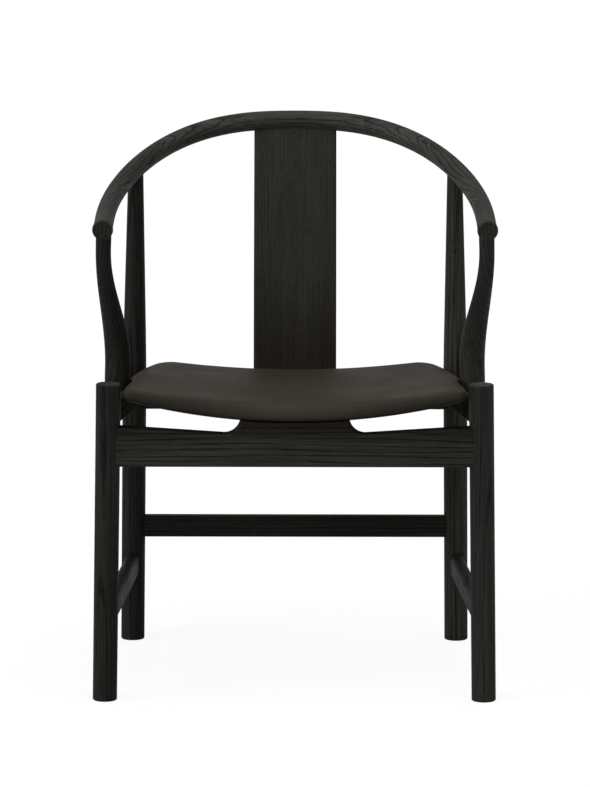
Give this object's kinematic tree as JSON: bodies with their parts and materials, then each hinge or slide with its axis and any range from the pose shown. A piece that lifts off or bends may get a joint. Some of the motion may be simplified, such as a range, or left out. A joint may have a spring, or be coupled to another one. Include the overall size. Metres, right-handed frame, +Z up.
{
  "type": "horseshoe back armchair",
  "caption": "Armchair with a round rail that sweeps from arm to arm over a flat splat, a dished leather seat, turned legs and three stretchers.",
  "frame": {"origin": "on the floor, under the middle of the chair's bounding box", "axes": "+Z up, the chair's front faces -Y, +X towards the arm on the right of a front view"},
  "size_m": [0.5622, 0.5468, 0.7544],
  "materials": {
    "black_ash": "black stain with open grain, satin",
    "seat_leather": "smooth black brown hide, satin",
    "foam": "open cell foam, matte",
    "plywood": "bent plywood, raw",
    "lining": "woven lining cloth, matte",
    "beech": "raw beech",
    "steel": "zinc plated"
  },
  "bodies": {
    "root": {"rail_back": "black_ash", "rail_arm_left": "black_ash", "rail_arm_right": "black_ash", "back_splat": "black_ash", "rear_leg_left": "black_ash", "rear_leg_right": "black_ash", "front_leg_left": "black_ash", "front_leg_right": "black_ash", "arm_post_left": "black_ash", "arm_post_right": "black_ash", "front_seat_rail": "black_ash", "rear_seat_rail": "black_ash", "side_seat_rail_left": "black_ash", "side_seat_rail_right": "black_ash", "side_stretcher_left": "black_ash", "side_stretcher_right": "black_ash", "rear_stretcher": "black_ash", "seat_cover": "seat_leather", "seat_foam": "foam", "seat_shell": "plywood", "seat_lining": "lining", "rear_corner_block_left": "beech", "rear_corner_block_right": "beech", "pegs": "beech", "seat_screws": "steel", "corner_block_screws": "steel"}
  },
  "joints": []
}
